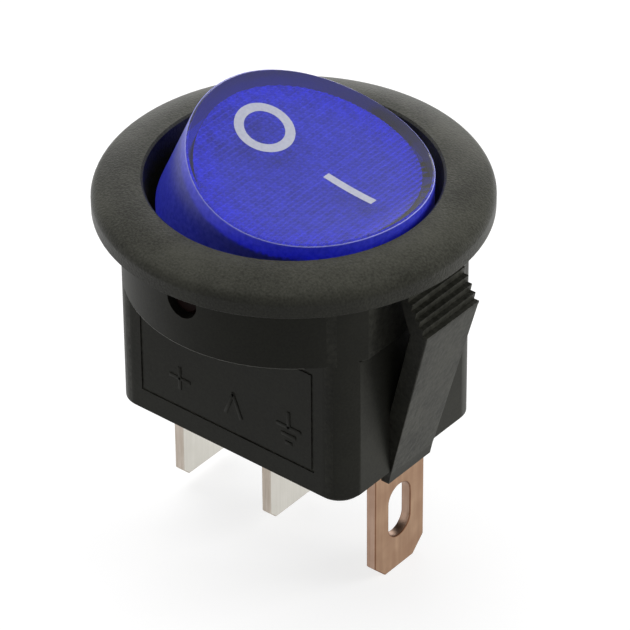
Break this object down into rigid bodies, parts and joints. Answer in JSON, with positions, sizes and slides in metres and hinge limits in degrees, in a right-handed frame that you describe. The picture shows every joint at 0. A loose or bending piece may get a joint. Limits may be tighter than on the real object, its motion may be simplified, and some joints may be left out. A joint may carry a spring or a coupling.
{
  "type": "rocker switch",
  "caption": "Round snap-in rocker switch with a lit translucent rocker, spring clips at both ends and blade terminals below.",
  "frame": {"origin": "centre of the bezel's underside, which seats on the panel", "axes": "+Z out of the panel towards the user, +X from the off end of the rocker to the on end, +Y along the rocker's trunnions"},
  "size_m": [0.023, 0.023, 0.0283],
  "materials": {
    "black_nylon": "spark-eroded matt",
    "blue_rocker": "translucent gloss",
    "brass": "drawn",
    "spring_steel": "drawn wire",
    "silvered_brass": "silver plated",
    "contact_silver": "pressed",
    "red_brass": "rolled strip",
    "lamp_lens": "clear cast resin",
    "tinned_wire": "tinned",
    "resistor_lacquer": "lacquered"
  },
  "bodies": {
    "housing": {"housing": "black_nylon", "terminal_supply": "silvered_brass", "fixed_contact": "contact_silver", "terminal_load": "silvered_brass", "terminal_ground": "red_brass", "ground_spring": "spring_steel"},
    "rocker": {"rocker": "blue_rocker", "lamp": "lamp_lens", "lamp_ground_lead": "tinned_wire", "lamp_feed_lead": "tinned_wire", "resistor_feed_lead": "tinned_wire", "resistor": "resistor_lacquer", "plunger_spring": "spring_steel"},
    "contact_arm": {"contact_arm": "silvered_brass", "moving_contact": "contact_silver"},
    "plunger": {"plunger": "brass"}
  },
  "joints": [
    {"name": "rocker_swing", "type": "hinge", "parent": "housing", "child": "rocker", "pos_m": [0, 0, -0.0015], "axis": [0, 1, 0], "range_deg": [-28, 0], "deforming": ["ground_spring"]},
    {"name": "arm_swing", "type": "hinge", "parent": "housing", "child": "contact_arm", "pos_m": [0, 0, -0.00964], "axis": [0, 1, 0], "range_deg": [0, 14]},
    {"name": "plunger_slide", "type": "slide", "parent": "rocker", "child": "plunger", "axis": [0.2419, 0, 0.9703], "range_m": [0, 0.0008], "stiffness_N_per_m": 250, "springref_m": -0.0016, "deforming": ["plunger_spring"]}
  ],
  "couplings": [
    {"joint": "arm_swing", "follows": "rocker_swing", "ratio": -0.5}
  ]
}
